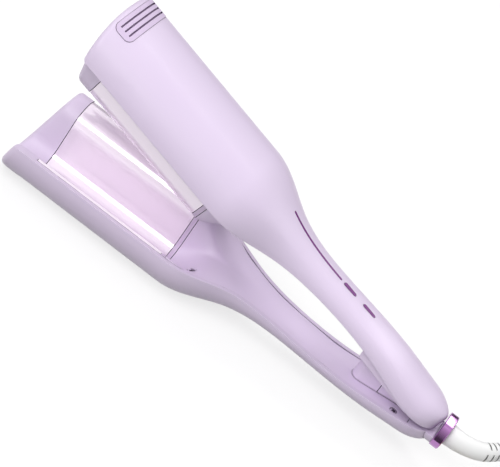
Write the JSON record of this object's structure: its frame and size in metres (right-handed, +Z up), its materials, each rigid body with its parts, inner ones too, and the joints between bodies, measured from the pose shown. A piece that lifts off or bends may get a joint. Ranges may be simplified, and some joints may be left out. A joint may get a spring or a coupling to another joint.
{
  "type": "hair crimper",
  "caption": "Deep-wave hair crimper with hinged arms, interlocking S-shaped heated plates, push buttons and a swivel cord.",
  "frame": {"origin": "centre of the flat on the lower arm's crown, under the middle of the plates, on the surface it lies on", "axes": "+X along the lower arm from the head to the cord, +Z up from the surface, +Y across, towards the lower barrel"},
  "size_m": [0.4864, 0.1074, 0.1305],
  "materials": {
    "shell_plastic": "satin moulded lilac",
    "cover_plastic": "satin moulded lilac",
    "coated_plate": "glossy lilac ceramic coat on aluminium",
    "spacer_plastic": "satin heat-resistant plastic",
    "pad_plastic": "satin moulded lilac",
    "heater_ceramic": "matt ceramic",
    "steel": "plain steel",
    "component_body": "small component body",
    "purple_chrome": "tinted chrome plate",
    "brass": "plain brass",
    "light_lens": "tinted lens",
    "button_plastic": "tinted gloss",
    "circuit_board": "solder mask",
    "black_plastic": "moulded",
    "cord_jacket": "soft white jacket"
  },
  "bodies": {
    "lower_arm": {"lower_shell": "shell_plastic", "lower_inner_cover": "cover_plastic", "lower_wave_plate": "coated_plate", "lower_rear_spacer": "spacer_plastic", "lower_grip_pad": "pad_plastic", "lower_heater": "heater_ceramic", "lower_heater_clip": "steel", "lower_thermal_fuse": "component_body", "lower_cover_screws": "steel", "hinge_block": "cover_plastic", "hinge_block_screws": "steel", "hinge_pin": "steel", "hinge_spring": "steel", "tail_block": "cover_plastic", "collar": "purple_chrome", "contact_rings": "brass"},
    "upper_arm": {"upper_shell": "shell_plastic", "upper_inner_cover": "cover_plastic", "upper_wave_plate": "coated_plate", "upper_rear_spacer": "spacer_plastic", "upper_grip_pad": "pad_plastic", "upper_heater": "heater_ceramic", "upper_heater_clip": "steel", "upper_thermistor": "component_body", "upper_cover_screws": "steel", "accent_light_bar": "light_lens", "control_board": "circuit_board", "board_screws": "steel", "tact_switches": "black_plastic", "light_emitters": "component_body"},
    "power_key": {"power_button": "button_plastic"},
    "temperature_key": {"temperature_button": "button_plastic"},
    "cord": {"swivel_drum": "black_plastic", "strain_relief": "cord_jacket", "cord_tube": "cord_jacket", "cord_coil": "cord_jacket", "cord_end": "cord_jacket", "plug_body": "cord_jacket", "plug_blades": "brass"}
  },
  "joints": [
    {"name": "arm_hinge", "type": "hinge", "parent": "lower_arm", "child": "upper_arm", "pos_m": [0.203, 0, 0.0325], "axis": [0, -1, 0], "range_deg": [0, 15.5], "stiffness_Nm_per_rad": 2, "springref_deg": -22.92},
    {"name": "power_press", "type": "slide", "parent": "upper_arm", "child": "power_key", "axis": [-0.2672, 0, -0.9636], "range_m": [0, 0.00025], "stiffness_N_per_m": 6000, "springref_m": -0.0001},
    {"name": "temperature_press", "type": "slide", "parent": "upper_arm", "child": "temperature_key", "axis": [-0.2672, 0, -0.9636], "range_m": [0, 0.00025], "stiffness_N_per_m": 6000, "springref_m": -0.0001},
    {"name": "cord_swivel", "type": "hinge", "parent": "lower_arm", "child": "cord", "pos_m": [0.24, 0, 0.0263], "axis": [1, 0, 0], "continuous": true}
  ]
}
